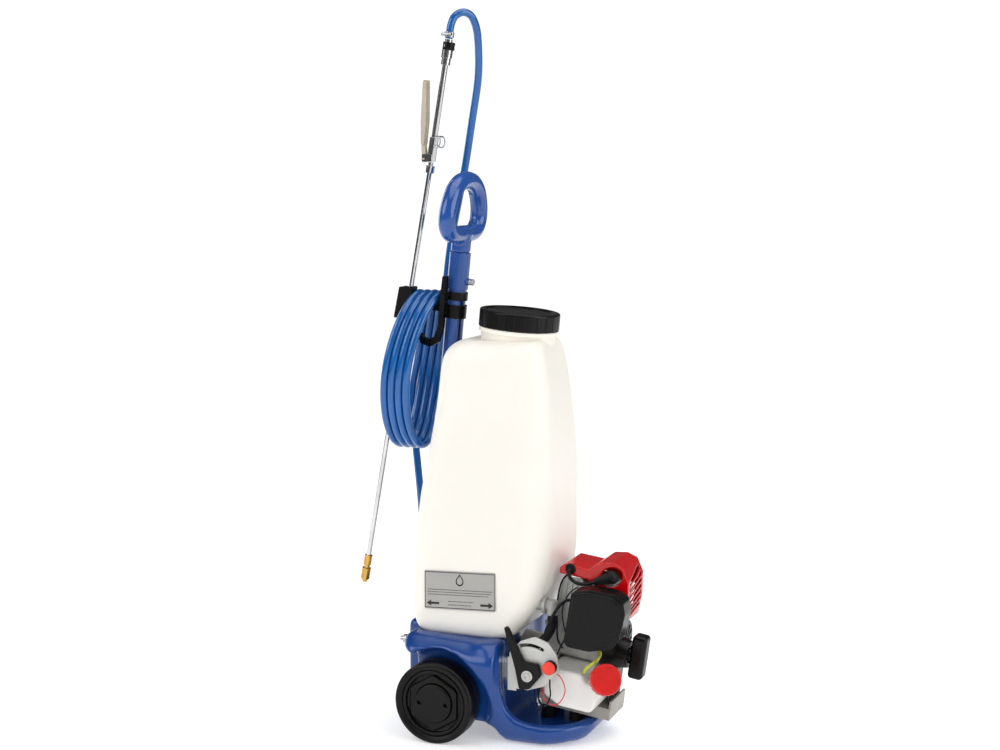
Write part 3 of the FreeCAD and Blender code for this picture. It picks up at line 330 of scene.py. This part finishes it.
def add_lathe(bm, start, way, profile, count=32, bump=None):
    """Turned form: profile is (distance along, radius) in mm from start along way."""
    way = way.normalized()
    rings = [ring_points(start + way * d * MM, way, r * MM, count, bump) for d, r in profile]
    add_loft(bm, rings)


def add_hoop(bm, centre, way, section, count=96):
    """Closed ring: section is a loop of (distance along way, radius) in mm."""
    way = way.normalized()
    side = way.orthogonal().normalized()
    over = way.cross(side)
    rings = []
    for k in range(count):
        a = 2 * math.pi * k / count
        out = side * math.cos(a) + over * math.sin(a)
        rings.append([centre + (way * d + out * r) * MM for d, r in section])
    add_loft(bm, rings, closed=True)


def smooth_path(points, steps=10):
    """Catmull-Rom curve through the points."""
    ends = [points[0] * 2 - points[1]] + list(points) + [points[-1] * 2 - points[-2]]
    path = []
    for a, b, c, d in zip(ends, ends[1:], ends[2:], ends[3:]):
        for k in range(steps):
            t = k / steps
            path.append(((2 * b) + (c - a) * t + (2 * a - 5 * b + 4 * c - d) * t * t
                         + (3 * b - a - 3 * c + d) * t * t * t) * 0.5)
    return path + [points[-1]]


def add_wire(bm, points, radius, steps=10, count=10):
    """Round wire along a smooth curve; radius in mm."""
    path = smooth_path(points, steps)
    tangents = [(b - a).normalized() for a, b in zip(path, path[1:])]
    tangents.append(tangents[-1])
    side = tangents[0].orthogonal().normalized()
    rings = []
    for point, way in zip(path, tangents):
        side = (side - way * side.dot(way)).normalized()
        over = way.cross(side)
        ring = []
        for k in range(count):
            a = 2 * math.pi * k / count
            ring.append(point + (side * math.cos(a) + over * math.sin(a)) * radius * MM)
        rings.append(ring)
    add_loft(bm, rings)


def add_slab(bm, outline, normal, thick):
    """Flat plate: outline points in space, made thick along normal (mm)."""
    shift = normal.normalized() * thick * MM
    add_loft(bm, [outline, [point + shift for point in outline]])


# ------------------------------------------------------------------ softened skins

def modified(mesh, kind, **settings):
    """Result of one modifier on a mesh."""
    made = bpy.data.objects.new("working", mesh)
    bpy.context.scene.collection.objects.link(made)
    modifier = made.modifiers.new("step", kind)
    for key, value in settings.items():
        setattr(modifier, key, value)
    seen = made.evaluated_get(bpy.context.evaluated_depsgraph_get())
    result = bpy.data.meshes.new_from_object(seen)
    bpy.data.objects.remove(made)
    return result


def soften(mesh, voxel, rounds, reshape=None):
    """Mesh rebuilt as one skin with every edge rounded off."""
    mesh = modified(mesh, "WELD", merge_threshold=0.00002)
    mesh = modified(mesh, "REMESH", mode="VOXEL", voxel_size=voxel)
    if reshape:
        for vertex in mesh.vertices:
            vertex.co = reshape(vertex.co)
    return modified(mesh, "SMOOTH", factor=0.5, iterations=rounds)


def dress(name, mesh, finish, body, node):
    """Smooth-shaded object that rides on a body and stands for one CAD node."""
    mesh.materials.clear()
    mesh.materials.append(finish)
    mesh.shade_smooth()
    made = bpy.data.objects.new(name, mesh)
    bpy.context.scene.collection.objects.link(made)
    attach(made, body)
    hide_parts(node)


def skin(name, node, voxel, rounds, finish, body="frame", extra=None, reshape=None):
    """Softened moulded form that stands for one CAD node, joined with extra."""
    mesh = NODES[node].data.copy()
    if extra:
        bm = bmesh.new()
        bm.from_mesh(mesh)
        extra(bm)
        bm.to_mesh(mesh)
        bm.free()
    dress(name, soften(mesh, voxel, rounds, reshape), finish, body, node)


BEAD_RADIUS = 11.5


def add_base_bead(bm):
    """Thick round bead down the base's front uprights and round the rim of the foot."""
    side = [(70, 126, 164), (92, 129, 158), (97, 131, 135), (98, 131, 105), (102, 125, 76),
            (113, 118, 52), (132, 115, 36), (160, 111, 29), (190, 101, 27), (214, 84, 27),
            (230, 58, 27), (236, 28, 27)]
    near = [at(x, -y, z) for x, y, z in side]
    far = [at(x, y, z) for x, y, z in reversed(side)]
    add_wire(bm, near + [at(237, 0, 27)] + far, BEAD_RADIUS, steps=4,
             count=16)


FOOT_HEEL, FOOT_LONG, FOOT_HALF_WIDE = 104, 146, 128
FOOT_SQUARENESS = 2.6
SOLE_FLAT, SOLE_RISE = 0.80, 22


def round_foot(point):
    """Draw the foot's square corners in to a full oval, and its sole's edge up."""
    heel = at(FOOT_HEEL, 0, 0).x
    ahead = (point.x - heel) / (FOOT_LONG * MM)
    beside = abs(point.y) / (FOOT_HALF_WIDE * MM)
    if ahead <= 0:
        return point
    reach = (ahead ** FOOT_SQUARENESS + beside ** FOOT_SQUARENESS) ** (1 / FOOT_SQUARENESS)
    shrink = 1 / max(1.0, reach)
    new = Vector((heel + (point.x - heel) * shrink, point.y * shrink, point.z))
    rim = min(1.0, max(0.0, (min(reach, 1.0) - SOLE_FLAT) / (1 - SOLE_FLAT)))
    sole = SOLE_RISE * MM * (1 - math.sqrt(1 - rim * rim)) * min(1.0, ahead * 4)
    new.z = max(point.z, sole)
    return new


def build_skins():
    """Softened mouldings; numbers are the voxel size in metres and the smoothing rounds."""
    skin("base_moulding", "base_shell", 0.0034, 42, MOULD_BLUE, extra=add_base_bead,
         reshape=round_foot)
    skin("cowl_moulding", "cowl", 0.0012, 5, RED)
    skin("filter_moulding", "air_filter_cover", 0.0012, 9, FILTER_BLACK)
    skin("fuel_tank_moulding", "fuel_tank", 0.0018, 22, FUEL_WHITE)
    skin("throttle_moulding", "throttle_lever", 0.0009, 6, BLACK, "throttle")
    for side in ("left", "right"):
        skin("wheel_moulding_" + side, "wheel_hub_" + side, 0.0013, 5, HUB_BLACK,
             "wheel_" + side)


TYRE_HALF_WIDTH = 21


def build_tyres():
    """Solid tyres with small round shoulders and a faint mould seam round the tread."""
    section = ((0.2, 57), (0, 60), (0, 65.5), (0.9, 67.8), (2.8, 69.3), (6, 69.8), (20.5, 69.8),
               (21, 70), (21.5, 69.8), (36, 69.8), (39.2, 69.3), (41.1, 67.8), (42, 65.5),
               (41.8, 61.5), (41.3, 60.8), (41.3, 58.4), (40.4, 57.2), (38.5, 56.2), (2, 56.2))
    for side, way in (("left", 1), ("right", -1)):
        inner = middle("tyre_" + side) - ACROSS * way * TYRE_HALF_WIDTH * MM
        bm = bmesh.new()
        add_hoop(bm, inner, ACROSS * way, section)
        made = piece("tyre_moulding_" + side, bm, TYRE, body="wheel_" + side, crease=50)
        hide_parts("tyre_" + side)


GRIP_MIDDLE, GRIP_FOOT, GRIP_BAR_RADIUS = 125, 49, 15


def grip_rings():
    """Cross-sections of the hand loop, in order round it."""
    half = [(0, -45), (30, -45), (54, -41), (68, -27), (70, -8), (63, 12), (50, 30), (30, 42),
            (12, 46)]
    loop = [tube(GRIP_MIDDLE + up, 0, side) for side, up in half]
    loop += [tube(GRIP_MIDDLE + up, 0, -side) for side, up in [(0, 47)] + half[:0:-1]]
    steps, sides = 8, 28
    path = smooth_path(loop[-2:] + loop + loop[:3], steps)[2 * steps:-2 * steps]
    count = len(path) - 1
    rings = []
    for k in range(count):
        way = (path[(k + 1) % count] - path[k - 1]).normalized()
        out = way.cross(TUBE_AHEAD).normalized()
        ring = []
        for m in range(sides):
            a = 2 * math.pi * m / sides
            turn = TUBE_AHEAD * math.cos(a) + out * math.sin(a)
            ring.append(path[k] + turn * GRIP_BAR_RADIUS * MM)
        rings.append(ring)
    return rings


def build_grip():
    """Closed hand loop, narrower at the top, on a socket over the inner tube."""
    bm = bmesh.new()
    add_loft(bm, grip_rings(), closed=True)
    add_lathe(bm, tube(GRIP_FOOT), TUBE_UP,
              ((0, 16.4), (0.8, 17), (24, 17), (30, 18.5), (34, 21)), 40)
    mesh = bpy.data.meshes.new("grip_form")
    bm.to_mesh(mesh)
    bm.free()
    dress("hand_grip", soften(mesh, voxel=0.0016, rounds=10), GRIP_BLUE, "handle", "d_grip")


CORD_START, CORD_LONG, CORD_RADIUS = (124, -24, -20), 35, 1.75
STRANDS, STRAND_DEPTH, STRAND_TWIST = 3, 0.09, 0.55


def build_starter_cord():
    """Cord from the housing to the pull grip."""
    start = eng(*CORD_START)
    end = start + CRANK_AHEAD * CORD_LONG * MM
    bm = bmesh.new()
    count = 36
    rings = []
    for k in range(count + 1):
        twist = k * STRAND_TWIST
        rings.append(ring_points(start.lerp(end, k / count), CRANK_AHEAD, CORD_RADIUS * MM, 18,
                                 lambda a: 1 + STRAND_DEPTH * math.cos(STRANDS * a + twist)))
    add_loft(bm, rings)
    cord = piece("starter_cord", bm, ROPE, body=None)
    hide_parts("starter_rope")
    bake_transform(cord)


def label_point(across, up, out=0.0):
    """Point on the label by its share of width and height, out in mm."""
    low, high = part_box("tank_label")
    foot = low.z + (high.z - low.z) * 0.07 * across
    height = (high.z - low.z) * 0.93
    return Vector((low.x + (high.x - low.x) * across, low.y - out * MM, foot + height * up))


PRINT_LIFT, PRINT_THICK = 0.02, 0.12
ARROW = ((0.03, 0.15), (0.095, 0.23), (0.095, 0.18), (0.21, 0.18), (0.21, 0.12), (0.095, 0.12),
         (0.095, 0.07))
DROP_MIDDLE, DROP_SIZE, DROP_LINE = (0.5, 0.76), (0.060, 0.14), 0.72
BAR_ROWS = ((0.05, 0.96, 0.50), (0.05, 0.94, 0.435), (0.05, 0.90, 0.37), (0.34, 0.70, 0.20),
            (0.34, 0.66, 0.11))
BAR_HIGH, BAR_GAP = 0.022, 0.008


def add_print(bm, corners):
    """Thin printed patch; corners are shares of the label's width and height."""
    add_slab(bm, [label_point(u, v, PRINT_LIFT) for u, v in corners], -ACROSS, PRINT_THICK)


def add_box_print(bm, u0, v0, u1, v1):
    add_print(bm, [(u0, v0), (u1, v0), (u1, v1), (u0, v1)])


def add_drop_print(bm, count=24):
    """Outline of a spray drop, pointed at the top."""
    outer = []
    for k in range(count):
        a = 2 * math.pi * k / count
        pull = 0.5 + 0.5 * math.sin(a)
        outer.append(label_point(
            DROP_MIDDLE[0] + DROP_SIZE[0] * math.cos(a) * (1 - 0.75 * pull ** 3),
            DROP_MIDDLE[1] + DROP_SIZE[1] * math.sin(a) + 0.035 * pull ** 4, PRINT_LIFT))
    centre = label_point(*DROP_MIDDLE, PRINT_LIFT)
    inner = [centre + (point - centre) * DROP_LINE for point in outer]
    for k in range(count):
        m = (k + 1) % count
        add_slab(bm, [outer[k], outer[m], inner[m], inner[k]], -ACROSS, PRINT_THICK)


def build_label_print():
    """Printed border, two arrows, a spray drop and rows of small bars."""
    bm = bmesh.new()
    add_print(bm, ARROW)
    add_print(bm, [(1 - u, v) for u, v in ARROW])
    add_drop_print(bm)
    piece("label_marks", bm, INK)

    bm = bmesh.new()
    for edges in ((0.008, 0.02, 0.992, 0.045), (0.008, 0.955, 0.992, 0.98),
                  (0.008, 0.02, 0.016, 0.98), (0.984, 0.02, 0.992, 0.98)):
        add_box_print(bm, *edges)
    for row, (u, last, foot) in enumerate(BAR_ROWS):
        k = 0
        while u < last:
            wide = 0.012 + 0.005 * ((k * 7 + row * 3) % 5)
            add_box_print(bm, u, foot, min(u + wide, last), foot + BAR_HIGH)
            u += wide + BAR_GAP
            k += 1
    piece("label_bars", bm, INK_GREY)


def build_wiring():
    """Stop-switch wires under the control plate and the lead beside the fuel tank."""
    low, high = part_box("stop_housing")
    switch = Vector(((low.x + high.x) / 2, high.y, (low.z + high.z) / 2))
    bm = bmesh.new()
    loop = [switch + Vector(p) * MM for p in ((4, -14, -8), (20, -22, -16), (28, -26, -34),
                                             (22, -28, -52), (8, -26, -62), (-8, -22, -56),
                                             (-16, -12, -44), (-18, 2, -30))]
    add_wire(bm, loop, 0.9)
    piece("wire_loop_red", bm, WIRE_RED)
    bm = bmesh.new()
    runs = [((-4, -10, -12), (0, -22, -30), (2, -26, -48), (-8, -24, -66), (-22, -14, -62),
             (-26, 0, -40)),
            ((-46, 0, -24), (-44, -10, -44), (-36, -14, -62), (-46, -12, -74), (-54, -4, -58),
             (-52, 6, -36)),
            ((-30, 2, -26), (-26, -8, -52), (-18, -12, -70), (-26, -10, -78), (-34, 0, -60),
             (-38, 10, -38)),
            ((-12, 4, -20), (4, 10, 20), (22, 24, 60), (34, 40, 92))]
    for run in runs:
        add_wire(bm, [switch + Vector(p) * MM for p in run], 1.3)
    piece("wires_black", bm, WIRE_BLACK)
    bm = bmesh.new()
    for x, z in ((-46, -30), (-24, -58)):
        start = switch + Vector((x, -8, z)) * MM
        add_lathe(bm, start, Vector((0.2, -0.1, -1)),
                  ((0, 2.0), (0.5, 3.4), (7, 3.6), (7.5, 2.6), (12, 2.6), (12.5, 1.6)), 12)
    piece("wire_connectors", bm, FUEL_WHITE)


GUN_LEAN = (31, 0, 189)
KNURLS, KNURL_DEPTH = 24, 0.012


def build_hose_ferrule():
    """Knurled black ferrule under the worm clamp."""
    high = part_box("gun_body")[1]
    gun = Vector(JOINTS["lever_squeeze"]["pos_m"])
    tip = Vector((high.x - 7.5 * MM, gun.y, high.z - 1.5 * MM))
    way = Vector(GUN_LEAN).normalized()
    bm = bmesh.new()
    add_lathe(bm, tip - way * 18 * MM, way,
              ((0, 9.0), (0.6, 10.6), (4, 10.9), (4.6, 10.3), (9, 10.3), (9.6, 10.9),
               (13, 10.6), (13.8, 8.2)), 48,
              lambda a: 1 + KNURL_DEPTH * math.cos(KNURLS * a))
    piece("hose_ferrule", bm, BLACK)


STRIP_ANGLE = -32


def build_guide_strip():
    """Narrow black guide strip down the outer handle tube, ahead and to the near side."""
    bm = bmesh.new()
    rings = []
    for s, half in ((-150, 4), (-148, 7), (-30, 7), (-28, 4)):
        ring = []
        for radius, way in ((16.3, -1), (17.4, -0.8), (17.4, 0.8), (16.3, 1)):
            a = math.radians(STRIP_ANGLE + way * half)
            ring.append(tube(s, radius * math.cos(a), radius * math.sin(a)))
        rings.append(ring)
    add_loft(bm, rings)
    piece("tube_guide_strip", bm, BLACK)


def build_throttle_screw():
    """Washer and screw on the throttle lever's hub."""
    pivot = Vector(JOINTS["throttle_swing"]["pos_m"])
    bm = bmesh.new()
    add_lathe(bm, pivot - ACROSS * 10.6 * MM, -ACROSS,
              ((0, 9.0), (0.6, 9.6), (1.4, 9.6), (2.0, 9.0)), 36)
    add_lathe(bm, pivot - ACROSS * 12.4 * MM, -ACROSS,
              ((0, 5.2), (0.4, 5.6), (3.2, 5.6), (4.2, 4.6), (4.2, 2.6), (2.2, 2.2)), 24)
    piece("throttle_screw", bm, ALLOY, body="throttle")


SHROUD_Y, SHROUD_RIB_Y, RIB_HALF = -36.4, -38.6, 1.2


def build_shroud():
    """Ribbed cast plate that closes the cylinder's near side, and its two wires."""
    bm = bmesh.new()
    outline = [(12, -8), (12, 60), (18, 92), (50, 94), (55, 84), (55, 34), (50, -2), (40, -8)]
    add_slab(bm, [eng(x, SHROUD_Y, z) for x, z in outline], -ACROSS, 2.4)
    for x, low, high in ((16, 0, 84), (25, -4, 90), (34, -4, 90), (43, -2, 90), (51, 36, 84)):
        corners = ((-RIB_HALF, low), (RIB_HALF, low), (RIB_HALF, high), (-RIB_HALF, high))
        add_slab(bm, [eng(x + over, SHROUD_RIB_Y, z) for over, z in corners], -ACROSS, 2.6)
    piece("cylinder_shroud", bm, CAST)
    bm = bmesh.new()
    for run, radius in ((((27, -44, 100), (19, -52, 84), (17, -54, 50), (22, -55, 14),
                          (26, -52, -14), (36, -48, -30)), 1.5),
                        (((50, -60, 84), (38, -64, 70), (30, -62, 40), (38, -60, 8),
                          (48, -58, -12)), 1.1)):
        add_wire(bm, [eng(x, y, z) for x, y, z in run], radius)
    piece("engine_wires", bm, WIRE_BLACK)


CASE_SCREW_CIRCLE = 40
STARTER_FACE, STARTER_RIBS, RIB_TURN = 129.6, 12, 8
RIB_CORNERS = ((16, -1.2), (16, 1.2), (36, 1.6), (36, -1.6))


def build_engine_details():
    """Gear case screws, the cowl's cable grommet and the ribs on the starter's face."""
    bm = bmesh.new()
    for a in map(math.radians, (30, 90, 150, 210, 330)):
        spot = eng(-1.5, CASE_SCREW_CIRCLE * math.cos(a),
                   CRANK_Z + CASE_SCREW_CIRCLE * math.sin(a))
        add_lathe(bm, spot, -CRANK_AHEAD, ((0, 3.6), (0.2, 4.0), (2.4, 4.0), (3.0, 3.4),
                                           (3.0, 1.9), (1.8, 1.7)), 18)
    piece("gear_case_screws", bm, STEEL)
    bm = bmesh.new()
    hole = eng(29, -44.2, 108)
    add_lathe(bm, hole, -ACROSS, ((-1.5, 6.6), (-1.0, 9.0), (1.0, 9.4), (2.0, 8.6),
                                  (2.4, 6.0), (1.2, 3.4)), 28)
    piece("cowl_grommet", bm, RUBBER)
    bm = bmesh.new()
    for k in range(STARTER_RIBS):
        a = math.radians(360 / STARTER_RIBS * k + RIB_TURN)
        outline = [eng(STARTER_FACE, r * math.cos(a) - w * math.sin(a),
                       CRANK_Z + r * math.sin(a) + w * math.cos(a)) for r, w in RIB_CORNERS]
        add_slab(bm, outline, CRANK_AHEAD, 1.8)
    piece("starter_ribs", bm, BLACK)


# ------------------------------------------------------------------ studio

WHITE = (1.0, 1.0, 1.0, 1.0)
EVEN_LIGHT, GLOSSY_BASE, BACKDROP = 0.78, 0.10, 1.05
# Direction, cosine of the half angle and strength of each soft box.
SOFT_BOXES = (((-0.55, -0.70, 0.45), 0.955, 4.0), ((0.97, -0.1, 0.25), 0.91, 3.5),
              ((-0.9, 0.4, 0.15), 0.96, 2.5), ((0.2, -0.1, 1), 0.84, 2.6))


def build_world():
    """White backdrop and even light, with soft boxes only shiny surfaces can see."""
    world = bpy.data.worlds.new("studio")
    world.use_nodes = True
    tree = world.node_tree
    back = tree.nodes["Background"]
    rays = add(tree, "LightPath").outputs
    way = add(tree, "TexCoord").outputs["Generated"]
    boxes = GLOSSY_BASE
    for place, wide, power in SOFT_BOXES:
        toward = add(tree, "VectorMath", {0: way, 1: Vector(place).normalized()},
                     operation="DOT_PRODUCT").outputs[1]
        lit = span(tree, toward, wide - 0.03, wide + 0.01, 0.0, power)
        boxes = maths(tree, "ADD", lit, boxes)
    soft = maths(tree, "MULTIPLY", rays["Is Glossy Ray"],
                 maths(tree, "SUBTRACT", boxes, EVEN_LIGHT))
    level = maths(tree, "ADD", soft, EVEN_LIGHT)
    level = maths(tree, "MAXIMUM", level,
                  maths(tree, "MULTIPLY", rays["Is Camera Ray"], BACKDROP))
    back.inputs["Color"].default_value = WHITE
    tree.links.new(level, back.inputs["Strength"])
    bpy.context.scene.world = world


FLOOR_HALF, FLOOR_GLOW = 6.0, 0.36
LIGHT_TARGET = Vector((0, 0, 0.45))
# Name, place, side of the square and power of each area light.
LIGHTS = (("key", (-1.6, -2.4, 2.6), 1.8, 30), ("fill", (2.6, -1.6, 1.6), 1.6, 16),
          ("top", (0.6, 0.8, 3.0), 1.6, 24))


def build_floor():
    """Plain pale floor."""
    bm = bmesh.new()
    corners = [(-1, -1), (1, -1), (1, 1), (-1, 1)]
    bm.faces.new([bm.verts.new((x * FLOOR_HALF, y * FLOOR_HALF, 0)) for x, y in corners])
    made = bpy.data.materials.new("floor_pale")
    made.use_nodes = True
    out = made.node_tree.nodes["Principled BSDF"]
    out.inputs["Base Color"].default_value = (0.86, 0.86, 0.86, 1.0)
    out.inputs["Roughness"].default_value = 0.8
    out.inputs["Specular IOR Level"].default_value = 0.1
    out.inputs["Emission Color"].default_value = WHITE
    out.inputs["Emission Strength"].default_value = FLOOR_GLOW
    piece("floor", bm, made, body=None)


def build_lights():
    """Soft area lights round the object, hidden from its reflections."""
    for name, place, size, power in LIGHTS:
        lamp = bpy.data.lights.new(name, "AREA")
        lamp.shape = "SQUARE"
        lamp.size = size
        lamp.energy = power
        made = bpy.data.objects.new(name, lamp)
        made.location = place
        made.visible_glossy = False
        made.rotation_mode = "QUATERNION"
        made.rotation_quaternion = (LIGHT_TARGET - Vector(place)).to_track_quat("-Z", "Y")
        bpy.context.scene.collection.objects.link(made)


CAMERA_PLACE, CAMERA_TILT, CAMERA_TURN, CAMERA_LENS = (1.0367, -2.7092, 0.9653), 83, 21, 61.56


def build_camera():
    camera = bpy.data.cameras.new("camera")
    camera.sensor_width = 36.0
    camera.lens = CAMERA_LENS
    camera.clip_start, camera.clip_end = 0.05, 50.0
    made = bpy.data.objects.new("camera", camera)
    made.location = CAMERA_PLACE
    made.rotation_euler = (math.radians(CAMERA_TILT), 0, math.radians(CAMERA_TURN))
    bpy.context.scene.collection.objects.link(made)
    bpy.context.scene.camera = made


dress_frame()
build_skins()
build_tyres()
build_grip()
build_starter_cord()
build_label_print()
build_wiring()
build_hose_ferrule()
build_guide_strip()
build_throttle_screw()
build_shroud()
build_engine_details()
build_world()
build_floor()
build_lights()
build_camera()
bpy.context.scene.view_settings.view_transform = "Standard"
